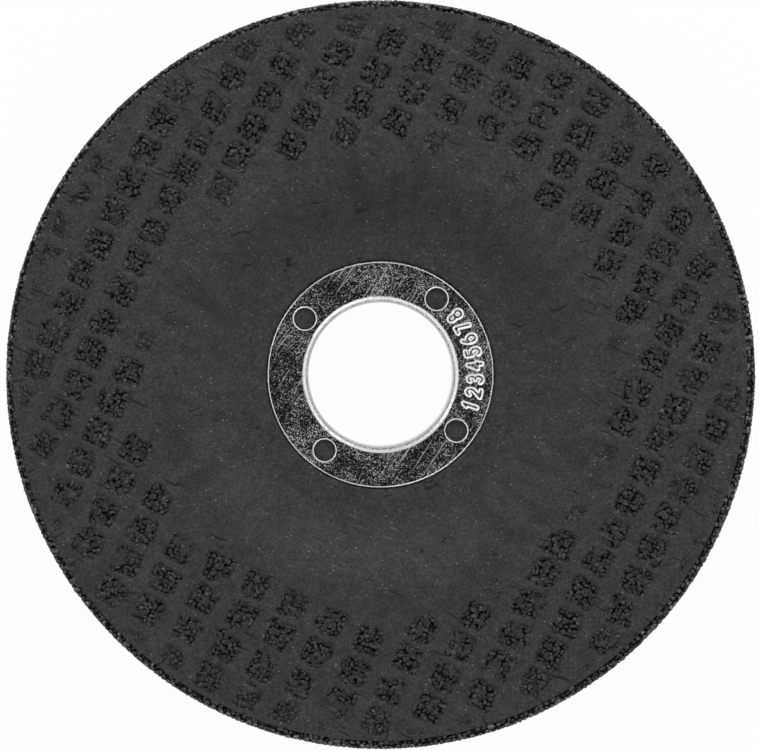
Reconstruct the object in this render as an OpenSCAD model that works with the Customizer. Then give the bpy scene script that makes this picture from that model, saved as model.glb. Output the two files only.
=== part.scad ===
// Grinding disc with a depressed centre: a moulded abrasive wheel, a dark meshed facing sheet
// on its recessed side, and a pressed steel ring in its bore. Millimetres, +Z up.
// The origin is on the bore's axis, in the plane of the hub's back face, on which the disc lies.

/* [Wheel] */
// Outer radius of the moulded wheel
wheel_r = 57.5; // [50:0.5:65]
// Thickness of the wheel with its facing sheet, measured along the axis
wheel_t = 6; // [4:0.1:8]

/* [Depressed centre] */
// Depth of the recess from the rim's face to the hub's face
recess_depth = 4.6; // [3:0.1:6]
// Radius of the flat hub, where the slope up to the rim starts
hub_flat_r = 21; // [19.5:0.5:24]
// Steepest angle of the slope between hub and rim
slope_angle = 32; // [26:1:40]
// Radius of the two bends at the foot and the top of the slope
slope_bend_r = 9; // [4:0.5:10]

/* [Facing sheet] */
// Thickness of the facing sheet
sheet_t = 0.4; // [0.2:0.05:0.6]
// Width of the bare grain left round the sheet's outer edge
rim_band = 0.9; // [0.4:0.1:2]

/* [Mesh windows] */
// Spacing of the windows along the first thread direction
pitch_a = 6.45; // [5.5:0.05:8]
// Spacing of the windows along the second thread direction
pitch_b = 5.25; // [4.6:0.05:7]
// Angle of the first thread direction, counter-clockwise from the X axis
thread_angle_a = -26; // [-45:1:45]
// Angle between the two thread directions
thread_crossing = 89; // [80:1:100]
// Place of one window's centre, from which the mesh repeats
mesh_origin = [-2.51, 0.43]; // [-3:0.01:3]
// Width of a window along the first thread direction
window_w = 4.2; // [3:0.05:4.8]
// Length of a window along the second thread direction
window_l = 4.2; // [3:0.05:4.4]
// Cut across each corner of a window
window_corner = 0.75; // [0.3:0.05:1.2]
// Least distance of a window's centre from the top of the slope
window_slope_gap = 3.45; // [3.4:0.05:8]
// Least distance of a window's centre from the sheet's outer edge
window_edge_gap = 5; // [4.9:0.1:10]

/* [Centre ring] */
// Inner radius of the ring's collar, which the spindle passes through
bore_r = 11.115; // [9:0.005:11.5]
// Thickness of the ring's steel
ring_t = 0.4; // [0.3:0.05:0.6]
// Width of the ring's flat flange, from the bend to its outer edge
flange_w = 5.4; // [4.8:0.1:6.8]
// Height of the flange above the facing sheet
flange_proud = 0.15; // [0:0.05:0.3]
// Outer radius of the bend between collar and flange
ring_bend_r = 1; // [0.7:0.05:1.5]
// Distance of the collar's lower end from the hub's back face
collar_inset = 0.3; // [0.1:0.1:1]
// Bevel on the flange's upper outer edge
flange_bevel = 0.12; // [0.05:0.01:0.2]
// Radius of the four holes in the flange
key_hole_r = 1.7; // [1:0.05:1.9]
// Width of steel between the bend and each hole
key_web = 0.7; // [0.3:0.05:1]
// Number of holes in the flange
key_holes = 4; // [2:1:8]
// Angle of the first hole, counter-clockwise from the X axis
key_angle = 53.5; // [0:0.5:90]

/* [Clearances] */
// Gap between the ring's collar and the moulded bore
collar_gap = 0.1; // [0.05:0.01:0.3]
// Gap between the flange's edge and the step in the facing sheet
flange_gap = 0.1; // [0.05:0.01:0.3]

/* [Hidden] */
$fn = 144;

// Heights of the two flat levels of the recessed face
hub_z = wheel_t;
rim_z = hub_z + recess_depth;

// Bends of the slope, no larger than its height leaves room for
bend_limit = 0.98 * recess_depth / (2 * (1 - cos(slope_angle)));
bend_r = min(slope_bend_r, bend_limit);
bend_run = bend_r * sin(slope_angle);
bend_rise = bend_r * (1 - cos(slope_angle));
slope_run = (recess_depth - 2 * bend_rise) / tan(slope_angle);
slope_end_r = hub_flat_r + 2 * bend_run + slope_run;

// Facing sheet and the ring of windows in it
sheet_r = wheel_r - rim_band;
window_from_r = slope_end_r + window_slope_gap;
window_to_r = sheet_r - window_edge_gap;
window_reach = ceil(2 * window_to_r / min(pitch_a, pitch_b) / sin(thread_crossing));

// Ring, and the seat of its flange, which presses the sheet down a step
seat_z = hub_z + flange_proud - ring_t;
bend_centre_r = bore_r + ring_bend_r;
bend_centre_z = seat_z + ring_t - ring_bend_r;
ring_inner_bend_r = ring_bend_r - ring_t;
flange_r = bend_centre_r + flange_w;
key_circle_r = bend_centre_r + key_web + key_hole_r;
seat_r = flange_r + flange_gap;
moulded_bore_r = bore_r + ring_t + collar_gap;

// Room drawn past an outline so that a cut runs right through
spare = 1;
deep = 3 * slope_bend_r + wheel_t;

// Half profile of everything below the recessed face, lowered by drop, out to the radius reach
module below_face(drop, reach) {
    translate([0, -drop])
        difference() {
            union() {
                polygon([
                    [0, -deep],
                    [reach, -deep],
                    [reach, rim_z],
                    [slope_end_r, rim_z],
                    [slope_end_r - bend_run, rim_z - bend_rise],
                    [hub_flat_r + bend_run, hub_z + bend_rise],
                    [hub_flat_r, hub_z],
                    [0, hub_z]
                ]);
                translate([slope_end_r, rim_z - bend_r])
                    circle(bend_r);
            }
            translate([hub_flat_r, hub_z + bend_r])
                circle(bend_r);
        }
}

// The same profile with the step that the flange presses into it
module below_seated_face(drop, reach) {
    difference() {
        below_face(drop, reach);
        translate([-spare, seat_z - drop])
            square([seat_r + spare, deep]);
    }
}

// Moulded grain and resin, with its bore
module body_profile() {
    difference() {
        below_seated_face(sheet_t, wheel_r);
        below_face(wheel_t, wheel_r + spare);
        translate([-spare, -deep])
            square([moulded_bore_r + spare, 2 * deep]);
        polygon([
            [moulded_bore_r - spare, seat_z - sheet_t + spare],
            [moulded_bore_r - spare, seat_z - sheet_t - ring_inner_bend_r],
            [moulded_bore_r, seat_z - sheet_t - ring_inner_bend_r],
            [bend_centre_r, seat_z - sheet_t],
            [bend_centre_r, seat_z - sheet_t + spare]
        ]);
    }
}

module sheet_profile() {
    difference() {
        below_seated_face(0, sheet_r);
        below_seated_face(sheet_t, sheet_r + spare);
        translate([-spare, -deep])
            square([bend_centre_r + spare, 2 * deep]);
    }
}

// Collar, quarter bend and flange of the pressed ring
module ring_profile() {
    translate([bore_r, collar_inset])
        square([ring_t, bend_centre_z - collar_inset]);
    intersection() {
        translate([bend_centre_r, bend_centre_z])
            difference() {
                circle(ring_bend_r);
                circle(ring_inner_bend_r);
            }
        translate([bore_r - spare, bend_centre_z])
            square([ring_bend_r + spare, ring_bend_r + spare]);
    }
    polygon([
        [bend_centre_r, seat_z],
        [flange_r, seat_z],
        [flange_r, seat_z + ring_t - flange_bevel],
        [flange_r - flange_bevel, seat_z + ring_t],
        [bend_centre_r, seat_z + ring_t]
    ]);
}

// One window of the mesh: a rectangle with its corners cut
module window_outline() {
    w = window_w / 2;
    l = window_l / 2;
    c = window_corner;
    polygon([
        [w, c - l],
        [w, l - c],
        [w - c, l],
        [c - w, l],
        [-w, l - c],
        [-w, c - l],
        [c - w, -l],
        [w - c, -l]
    ]);
}

// Windows on the crossings of the two thread directions, over the flat rim
module mesh_windows() {
    step_a = pitch_a * [cos(thread_angle_a), sin(thread_angle_a)];
    angle_b = thread_angle_a + thread_crossing;
    step_b = pitch_b * [cos(angle_b), sin(angle_b)];
    for (i = [-window_reach:window_reach], j = [-window_reach:window_reach]) {
        place = mesh_origin + i * step_a + j * step_b;
        if (norm(place) >= window_from_r && norm(place) <= window_to_r)
            translate(place)
                rotate(thread_angle_a)
                    window_outline();
    }
}

module abrasive_body() {
    color([0.17, 0.17, 0.17])
        rotate_extrude()
            body_profile();
}

module facing_sheet() {
    color([0.23, 0.23, 0.225])
        difference() {
            rotate_extrude()
                sheet_profile();
            translate([0, 0, rim_z - sheet_t - spare])
                linear_extrude(sheet_t + 2 * spare)
                    mesh_windows();
        }
}

module centre_ring() {
    color([0.55, 0.56, 0.57])
        difference() {
            rotate_extrude()
                ring_profile();
            for (k = [0:key_holes - 1])
                rotate(key_angle + k * 360 / key_holes)
                    translate([key_circle_r, 0, seat_z - spare])
                        cylinder(r = key_hole_r, h = ring_t + 2 * spare, $fn = 48);
        }
}

abrasive_body();
facing_sheet();
centre_ring();
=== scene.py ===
"""Grinding disc with a depressed centre: the visible surfaces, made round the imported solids.

Lengths are in metres in the frame of the part: +Z up, the origin on the bore's axis in the plane of the
hub's back face. The recessed face with its dark meshed facing looks up.
"""

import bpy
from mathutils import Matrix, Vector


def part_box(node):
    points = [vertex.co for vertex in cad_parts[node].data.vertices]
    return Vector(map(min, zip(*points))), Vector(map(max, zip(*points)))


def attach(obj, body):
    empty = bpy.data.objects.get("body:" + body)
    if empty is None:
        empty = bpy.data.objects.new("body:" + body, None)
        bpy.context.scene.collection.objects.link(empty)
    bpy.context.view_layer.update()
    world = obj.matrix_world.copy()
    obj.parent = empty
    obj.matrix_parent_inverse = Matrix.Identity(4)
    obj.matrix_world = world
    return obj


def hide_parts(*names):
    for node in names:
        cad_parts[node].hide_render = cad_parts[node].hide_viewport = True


bl_info = {
    "name": "Grinding Disc",
    "version": (1, 0, 0),
    "blender": (4, 5, 0),
    "location": "View3D > Sidebar > Disc",
    "description": "Makes a bonded grinding disc, its meshed facing, its steel ring and a plain studio",
    "category": "Add Mesh",
}

import math

import bpy
import mathutils
import numpy as np

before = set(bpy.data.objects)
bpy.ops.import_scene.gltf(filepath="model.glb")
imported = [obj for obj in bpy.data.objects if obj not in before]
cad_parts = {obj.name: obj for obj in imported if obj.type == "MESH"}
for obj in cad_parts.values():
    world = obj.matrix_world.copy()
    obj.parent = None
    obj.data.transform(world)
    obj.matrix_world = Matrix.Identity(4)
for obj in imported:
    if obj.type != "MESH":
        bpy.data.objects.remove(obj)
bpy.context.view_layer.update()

MM = 0.001
BODY = "root"
WHEEL_LOW, WHEEL_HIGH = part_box("abrasive_body")
SHEET_LOW, SHEET_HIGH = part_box("facing_sheet")
RING_LOW, RING_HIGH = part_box("centre_ring")
IMAGE_W, IMAGE_H = 759, 750


def length(name, description, default):
    """A size in metres."""
    return bpy.props.FloatProperty(
        name=name, description=description, default=default, unit="LENGTH", subtype="DISTANCE", precision=5
    )


def turn(name, description, degrees):
    """An angle, given in degrees."""
    return bpy.props.FloatProperty(
        name=name, description=description, default=math.radians(degrees), unit="ROTATION", subtype="ANGLE"
    )


def share(name, description, default):
    """A part of a whole, from 0 to 1."""
    return bpy.props.FloatProperty(name=name, description=description, default=default, min=0, max=1, subtype="FACTOR")


def colour(name, description, default):
    """A linear colour."""
    return bpy.props.FloatVectorProperty(
        name=name, description=description, default=default, size=3, min=0, max=1, subtype="COLOR"
    )


def count(name, description, default):
    """A whole number."""
    return bpy.props.IntProperty(name=name, description=description, default=default, min=1)


class DiscWheelSizes(bpy.types.PropertyGroup):
    """Sizes of the moulded wheel and of the grains that it is made of"""

    radius: length("Radius", "Outer radius of the wheel, over the grains", WHEEL_HIGH[0])
    rim_z: length("Rim Height", "Height of the recessed face over the flat rim", SHEET_HIGH[2])
    recess: length("Recess", "Depth of the depressed centre", 4.6 * MM)
    hub_radius: length("Hub Radius", "Radius of the flat hub", 21 * MM)
    slope_angle: turn("Slope Angle", "Steepest angle between hub and rim", 32)
    slope_bend: length("Slope Bend", "Radius of the bends of the slope", 9 * MM)
    bore: length("Moulded Bore", "Radius of the moulded bore", 11.615 * MM)
    grain_min: length("Smallest Grain", "Smallest radius of a grain", 0.25 * MM)
    grain_max: length("Largest Grain", "Largest radius of a grain", 0.52 * MM)
    grain_gap: length("Grain Spacing", "Distance between neighbouring grains", 0.65 * MM)
    rim_gap: length("Rim Grain Spacing", "Distance between neighbouring grains of the rim", 0.78 * MM)
    back_gap: length("Back Grain Spacing", "Distance between the proud grains of the back", 1.25 * MM)


class DiscSheetSizes(bpy.types.PropertyGroup):
    """Sizes of the facing sheet and of the windows between its threads"""

    radius: length("Radius", "Outer radius of the sheet, a little worn back", SHEET_HIGH[0] - 0.32 * MM)
    depth: length("Thickness", "Thickness of the sheet", 0.4 * MM)
    shift_x: length("Edge Shift X", "How far the sheet's edge lies towards +X on the wheel", -0.1 * MM)
    shift_y: length("Edge Shift Y", "How far the sheet's edge lies towards +Y on the wheel", 0.14 * MM)
    pitch_a: length("First Pitch", "Spacing of the windows along the first thread direction", 6.45 * MM)
    pitch_b: length("Second Pitch", "Spacing of the windows along the second thread direction", 5.25 * MM)
    angle_a: turn("Thread Angle", "Angle of the first thread direction from the X axis", -26)
    crossing: turn("Crossing", "Angle between the two thread directions", 89)
    origin_x: length("Mesh Origin X", "Place of one window's centre", -2.51 * MM)
    origin_y: length("Mesh Origin Y", "Place of one window's centre", 0.43 * MM)
    window_w: length("Window Width", "Width of a window along the first direction", 4.2 * MM)
    window_l: length("Window Length", "Length of a window along the second direction", 4.2 * MM)
    window_round: length("Window Rounding", "Radius of a window's corners", 0.85 * MM)
    pit: length("Pit", "Depth to which the sheet is drawn down in a window", 0.48 * MM)
    thread: length("Thread Relief", "Height of the threads that show between the windows", 0.06 * MM)
    full_from: length("Full From", "Radius from which the windows are fully open", 38.4 * MM)
    full_to: length("Full To", "Radius up to which the windows are fully open", 50.6 * MM)
    open_from: length("Open From", "Radius from which windows begin to open", 35.8 * MM)
    open_to: length("Open To", "Radius past which no window opens", 58.2 * MM)


class DiscRingSizes(bpy.types.PropertyGroup):
    """Sizes of the pressed steel ring and of its raised numbers"""

    bore: length("Bore", "Inner radius of the collar", 11.115 * MM)
    steel: length("Steel", "Thickness of the steel", 0.4 * MM)
    bend: length("Bend", "Outer radius of the bend between collar and flange", 1 * MM)
    edge: length("Edge Rounding", "Rounding of the flange's outer edge", 0.3 * MM)
    hole: length("Hole", "Radius of the four holes", 1.62 * MM)
    lip: length("Lip", "Width of the rounded lip round a hole", 0.30 * MM)
    hole_circle: length("Hole Circle", "Radius of the circle of the holes", 14.515 * MM)
    hole_angle: turn("Hole Angle", "Angle of the first hole", 53.5)
    number_circle: length("Number Circle", "Radius of the middle of the numbers", 14.6 * MM)
    number_height: length("Number Height", "Height of a number", 3.1 * MM)
    number_width: length("Number Width", "Width of a number", 1.9 * MM)
    stroke: length("Stroke", "Width of a raised stroke", 0.98 * MM)
    raise_by: length("Relief", "Height of the numbers above the flange", 0.22 * MM)
    number_from: turn("First Number", "Angle of the first number", -19.2)
    number_step: turn("Number Step", "Angle between neighbouring numbers", 8.2)


class DiscColours(bpy.types.PropertyGroup):
    """Colours of the finishes"""

    film: colour("Film", "Resin film of the facing sheet", (0.0407, 0.0409, 0.0407))
    film_warm: colour("Warm Film", "Browner patches of the film", (0.0428, 0.0423, 0.0403))
    # Painted shade: the dark of the creases, cracks, pinholes and edge splits in the film.
    crease_shade: colour("Crease Shade", "Cracks and creases in the film", (0.006, 0.006, 0.006))
    dust: colour("Dust", "Pale specks", (0.22, 0.22, 0.21))
    # Also painted shade: the cracks of the rim grains take this colour.
    resin: colour("Resin", "Resin between the grains", (0.0030, 0.0030, 0.0031))
    # Painted shade: the dark of the cracks between grains and facets, and of the bottom of the deepest pits.
    crevice_shade: colour("Crevice Shade", "Cracks between the grains in the windows", (0.0175, 0.0175, 0.0176))
    grain: colour("Grain", "Coated grain in the windows and on the back", (0.067, 0.067, 0.067))
    grain_rim: colour("Rim Grain", "Coated grain of the rim", (0.168, 0.168, 0.173))
    grain_pale: colour("Pale Grain", "Broken grain", (0.105, 0.105, 0.105))
    grain_red: colour("Red Grain", "The few brown grains", (0.16, 0.08, 0.06))
    steel: colour("Steel", "Rolled steel of the ring", (0.68, 0.69, 0.70))
    # Real stains, and painted shade: steep walls of the ring take this colour too.
    stain_and_shade_steel: colour("Dull Steel", "Stained steel", (0.47, 0.48, 0.49))
    # Real scratches and rubbed spots, and a painted highlight: the ring's bends and rounded edges take this colour too.
    scratch_and_highlight_steel: colour("Bright Steel", "Steel rubbed bright at scratches, bends and edges", (0.92, 0.92, 0.93))
    floor: colour("Floor", "Studio floor", (0.86, 0.86, 0.86))


class DiscStage(bpy.types.PropertyGroup):
    """Camera, lamps and floor"""

    camera_height: length("Camera Height", "Height of the camera above the rim", 800 * MM)
    camera_x: length("Camera X", "Camera's distance along X from the axis", -10.7 * MM)
    camera_y: length("Camera Y", "Camera's distance along Y from the axis", 18.2 * MM)
    aim_x: length("Aim X", "Point of the rim plane in the middle of the picture", -0.23 * MM)
    aim_y: length("Aim Y", "Point of the rim plane in the middle of the picture", 0.05 * MM)
    view_width: length("View Width", "Width of the rim plane that the picture takes in", 116.25 * MM)
    key_level: bpy.props.FloatProperty(name="Key", description="Light of the large lamp", default=0.26, min=0)
    fill_level: bpy.props.FloatProperty(name="Fill", description="Light of the fill lamp", default=0.04, min=0)
    side_level: bpy.props.FloatProperty(name="Side", description="Light of the low side lamp", default=0.31, min=0)
    sky_level: bpy.props.FloatProperty(name="Sky", description="Light from the sides of the room", default=0.92, min=0)


SEED = 11
BROWN_TONE = 2.0
KEY_PLACE = (-0.12, 0.62, 0.50)
TURN = 2 * math.pi


def smooth_step(x, low, high):
    """0 up to low, 1 from high on, and 3t squared minus 2t cubed between them."""
    t = np.clip((x - low) / (high - low), 0, 1)
    return t * t * (3 - 2 * t)


def lattice_random(cells, seed):
    """A number from 0 to 1 for each row of whole numbers, always the same for the same row and seed.

    The columns are multiplied by large odd numbers, added, and mixed by shifts and products.
    """
    weights = np.array([0x9E3779B1, 0x85EBCA77, 0xC2B2AE3D], dtype=np.uint64)[: cells.shape[-1]]
    with np.errstate(over="ignore"):
        mixed = (cells.astype(np.int64).astype(np.uint64) * weights).sum(-1) + np.uint64(seed * 7919 + 1)
        mixed ^= mixed >> np.uint64(29)
        mixed *= np.uint64(0xBF58476D1CE4E5B9)
        mixed ^= mixed >> np.uint64(32)
    return (mixed & np.uint64(0xFFFFFF)).astype(float) / float(0x1000000)


def value_noise(points, cell, seed):
    """Smooth noise from -1 to 1: random values at the corners of square cells, blended with smooth steps."""
    scaled = points / cell
    low = np.floor(scaled)
    part = scaled - low
    part = part * part * (3 - 2 * part)
    total = np.zeros(points.shape[:-1])
    for corner in np.ndindex(*(2,) * points.shape[-1]):
        weight = np.prod(np.where(corner, part, 1 - part), axis=-1)
        total += weight * lattice_random(low + corner, seed)
    return 2 * total - 1


def layered_noise(points, cell, seed, layers=3):
    """Value noise in several layers, each at half the cell and half the strength of the last."""
    return sum(value_noise(points, cell / 2**k, seed + k) / 2**k for k in range(layers))


def face_height(radius, sizes):
    """Height of the recessed face: flat hub, bend up, straight slope, bend back, flat rim."""
    hub_z = sizes.rim_z - sizes.recess
    bend = sizes.slope_bend
    run = bend * math.sin(sizes.slope_angle)
    rise = bend * (1 - math.cos(sizes.slope_angle))
    foot = sizes.hub_radius
    top = foot + 2 * run + (sizes.recess - 2 * rise) / math.tan(sizes.slope_angle)
    lower = hub_z + bend - np.sqrt(np.maximum(bend**2 - np.clip(radius - foot, 0, run) ** 2, 0))
    upper = sizes.rim_z - bend + np.sqrt(np.maximum(bend**2 - np.clip(top - radius, 0, run) ** 2, 0))
    straight = hub_z + rise + (radius - foot - run) * math.tan(sizes.slope_angle)
    height = np.where(radius < foot + run, lower, straight)
    return np.where(radius > top - run, upper, height)


def thread_axes(sheet):
    """Unit vectors of the two thread directions, as the rows of a matrix."""
    a = sheet.angle_a
    b = sheet.angle_a + sheet.crossing
    return np.array([[math.cos(a), math.sin(a)], [math.cos(b), math.sin(b)]])


def mesh_cells(plane, sheet):
    """Nearest window of each point: its whole-number place in the mesh, and the point seen from its centre."""
    steps = thread_axes(sheet) * np.array([[sheet.pitch_a], [sheet.pitch_b]])
    along = (plane - [sheet.origin_x, sheet.origin_y]) @ np.linalg.inv(steps)
    cell = np.round(along)
    return cell, (along - cell) * [sheet.pitch_a, sheet.pitch_b]


def cell_centres(cell, sheet):
    """Centre of a window from its whole-number place in the mesh."""
    steps = thread_axes(sheet) * np.array([[sheet.pitch_a], [sheet.pitch_b]])
    return cell @ steps + [sheet.origin_x, sheet.origin_y]


def window_strength(cell, sheet):
    """How far each window is open, 0 to 1: less near both edges of the band, and a little different each."""
    radius = np.linalg.norm(cell_centres(cell, sheet), axis=-1)
    inner = smooth_step(radius, sheet.open_from, sheet.full_from)
    outer = 1 - smooth_step(radius, sheet.full_to, sheet.open_to)
    return inner * outer * (0.78 + 0.22 * lattice_random(cell, SEED))


def window_edge(plane, sheet):
    """Signed distance to the ragged edge of the nearest window, negative inside.

    A rectangle with round corners, bent by noise, and smaller where the window is less open.
    """
    cell, local = mesh_cells(plane, sheet)
    half = np.array([sheet.window_w, sheet.window_l]) / 2 - sheet.window_round
    past = np.abs(local) - half
    outside = np.linalg.norm(np.maximum(past, 0), axis=-1)
    inside = np.minimum(past.max(-1), 0)
    ragged = 0.34 * MM * layered_noise(plane, 1.3 * MM, SEED + 3)
    shrunk = 0.8 * MM * (1 - smooth_step(window_strength(cell, sheet), 0.1, 0.75))
    return cell, outside + inside - sheet.window_round + ragged + shrunk


def put_mesh(name, vertices, quads, triangles, smooth=True):
    """A mesh object at the origin from arrays of vertices, four-sided and three-sided faces."""
    mesh = bpy.data.meshes.new(name)
    quads = np.asarray(quads, dtype=np.int32).reshape(-1, 4)
    triangles = np.asarray(triangles, dtype=np.int32).reshape(-1, 3)
    corners = np.concatenate([quads.ravel(), triangles.ravel()])
    starts = np.concatenate([np.arange(len(quads)) * 4, 4 * len(quads) + np.arange(len(triangles)) * 3])
    mesh.vertices.add(len(vertices))
    mesh.vertices.foreach_set("co", np.asarray(vertices, dtype=np.float32).ravel())
    mesh.loops.add(len(corners))
    mesh.loops.foreach_set("vertex_index", corners.astype(np.int32))
    mesh.polygons.add(len(starts))
    mesh.polygons.foreach_set("loop_start", starts.astype(np.int32))
    mesh.polygons.foreach_set("use_smooth", np.full(len(starts), smooth))
    mesh.update(calc_edges=True)
    mesh.validate()
    piece = bpy.data.objects.new(name, mesh)
    bpy.context.scene.collection.objects.link(piece)
    return piece


def put_attribute(piece, name, values):
    """One number for each vertex, which the finish reads by name."""
    attribute = piece.data.attributes.new(name, "FLOAT", "POINT")
    attribute.data.foreach_set("value", np.asarray(values, dtype=np.float32))


def grid_quads(rows, columns, wrap_rows=False, wrap_columns=True):
    """Faces of a grid whose vertices are counted along its columns first, closed round where asked."""
    row = np.arange(rows if wrap_rows else rows - 1)[:, None]
    column = np.arange(columns if wrap_columns else columns - 1)[None, :]
    next_row = (row + 1) % rows
    next_column = (column + 1) % columns
    corners = [
        row * columns + column,
        row * columns + next_column,
        next_row * columns + next_column,
        next_row * columns + column,
    ]
    return np.stack([np.broadcast_to(c, (row.size, column.size)) for c in corners], -1).reshape(-1, 4)


def halving_triangles(first, second, columns):
    """Faces between a ring of columns vertices from index first and one of half as many from index second."""
    j = np.arange(columns // 2)
    after = (j + 1) % (columns // 2)
    a, b, c = first + 2 * j, first + 2 * j + 1, first + (2 * j + 2) % columns
    near, far = second + j, second + after
    return np.concatenate([np.stack([a, b, near], -1), np.stack([b, far, near], -1), np.stack([b, c, far], -1)])


def polyline(corners, spacing):
    """Points at most spacing apart along straight stretches between the corners."""
    points = []
    for start, end in zip(corners[:-1], corners[1:]):
        parts = max(1, math.ceil(math.dist(start, end) / spacing))
        steps = np.arange(parts)[:, None] / parts
        points.append(np.array(start) + steps * (np.array(end) - np.array(start)))
    return np.concatenate(points + [np.array([corners[-1]])])


def revolve(profile, columns):
    """Grid of points: each profile point (radius, height) turned about the Z axis in equal steps."""
    angle = np.arange(columns) * TURN / columns
    radius, height = profile[:, :1], profile[:, 1:]
    flat = np.broadcast_to(height, (len(profile), columns))
    return np.stack([radius * np.cos(angle), radius * np.sin(angle), flat], -1)


def profile_normals(profile):
    """Outward normals in the (radius, height) plane of a profile that runs clockwise."""
    along = np.gradient(profile, axis=0)
    along /= np.linalg.norm(along, axis=1, keepdims=True)
    return np.stack([-along[:, 1], along[:, 0]], -1)


def icosahedron():
    """Unit icosahedron: twelve corners of three golden rectangles, and its twenty faces."""
    golden = (1 + math.sqrt(5)) / 2
    corners = []
    for one in (-1, 1):
        for long in (-golden, golden):
            corners += [(0, one, long), (one, long, 0), (long, 0, one)]
    corners = np.array(corners) / math.hypot(1, golden)
    near = np.linalg.norm(corners[:, None] - corners[None], axis=-1)
    side = near[near > 1e-6].min() * 1.01
    faces = []
    for i in range(12):
        for j in range(i + 1, 12):
            for k in range(j + 1, 12):
                if max(near[i, j], near[j, k], near[i, k]) < side:
                    inward = np.dot(np.cross(corners[j] - corners[i], corners[k] - corners[i]), corners[i]) < 0
                    faces.append((i, k, j) if inward else (i, j, k))
    return corners, np.array(faces)


def keep_inside(points, wheel):
    """Draws points that stand out of the wheel back to its side, its rim plane or the plane of its hub's back."""
    radius = np.linalg.norm(points[:, :2], axis=1)
    points[:, :2] *= np.minimum(1, wheel.radius / np.maximum(radius, MM))[:, None]
    points[:, 2] = np.clip(points[:, 2], 0, wheel.rim_z)


def scatter_grains(name, places, normals, radii, flatten, wheel, random):
    """Irregular grains at the places: an icosahedron each, with its corners pushed in and out, turned at
    random, stretched across and flattened along the surface's normal, by a share for each grain.
    """
    corners, faces = icosahedron()
    total = len(places)
    axes, _ = np.linalg.qr(random.normal(size=(total, 3, 3)))
    axes *= np.sign(np.linalg.det(axes))[:, None, None]
    shape = np.einsum("nij,kj->nki", axes, corners) * random.uniform(0.72, 1.2, (total, 12, 1))
    shape *= random.uniform(0.75, 1.32, (total, 1, 3))
    lift = np.einsum("nki,ni->nk", shape, normals)
    shape -= (1 - np.broadcast_to(flatten, total))[:, None, None] * lift[:, :, None] * normals[:, None, :]
    vertices = (places[:, None, :] + shape * radii[:, None, None]).reshape(-1, 3)
    keep_inside(vertices, wheel)
    numbered = faces[None] + 12 * np.arange(total)[:, None, None]
    piece = put_mesh(name, vertices, [], numbered.reshape(-1, 3), smooth=False)
    put_attribute(piece, "tone", np.repeat(random.uniform(0, 1, total), 12))
    return piece


def finish_piece(piece, material, node):
    """Gives a new piece its finish, and puts it in the place of the node that it stands for."""
    piece.data.materials.append(material)
    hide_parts(node)
    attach(piece, BODY)


def add_node(tree, kind, settings=None, **values):
    """A shader node with its settings, and with values for its sockets by name."""
    made = tree.nodes.new(kind)
    for key, value in (settings or {}).items():
        setattr(made, key, value)
    for key, value in values.items():
        made.inputs[key.replace("_", " ")].default_value = value
    return made


def calculate(tree, operation, first, second=None, clamp=False):
    """A math node on one or two sockets or numbers. Returns its output."""
    made = add_node(tree, "ShaderNodeMath", {"operation": operation, "use_clamp": clamp})
    for socket, value in zip(made.inputs, (first, second)):
        if isinstance(value, bpy.types.NodeSocket):
            tree.links.new(value, socket)
        elif value is not None:
            socket.default_value = value
    return made.outputs[0]


def blend_colour(tree, factor, first, second):
    """A colour between two colours or colour sockets. Returns its output."""
    made = add_node(tree, "ShaderNodeMix", {"data_type": "RGBA"})
    for socket, value in zip((made.inputs[0], made.inputs[6], made.inputs[7]), (factor, first, second)):
        if isinstance(value, bpy.types.NodeSocket):
            tree.links.new(value, socket)
        else:
            socket.default_value = value if isinstance(value, float) else (*value, 1)
    return made.outputs[2]


def remap(tree, value, low, high, to_low=0.0, to_high=1.0, interpolation="LINEAR"):
    """A value moved from one range to another and kept inside it. Returns its output."""
    made = add_node(tree, "ShaderNodeMapRange", {"interpolation_type": interpolation})
    tree.links.new(value, made.inputs[0])
    for socket, number in zip(made.inputs[1:5], (low, high, to_low, to_high)):
        socket.default_value = number
    return made.outputs[0]


def new_group(name, inputs, outputs):
    """An empty shader group with the sockets named. Returns it with its two end nodes."""
    group = bpy.data.node_groups.new(name, "ShaderNodeTree")
    for socket, kind, default in inputs:
        made = group.interface.new_socket(socket, in_out="INPUT", socket_type=kind)
        if default is not None:
            made.default_value = default
    for socket in outputs:
        group.interface.new_socket(socket, in_out="OUTPUT", socket_type="NodeSocketFloat")
    return group, group.nodes.new("NodeGroupInput"), group.nodes.new("NodeGroupOutput")


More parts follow.
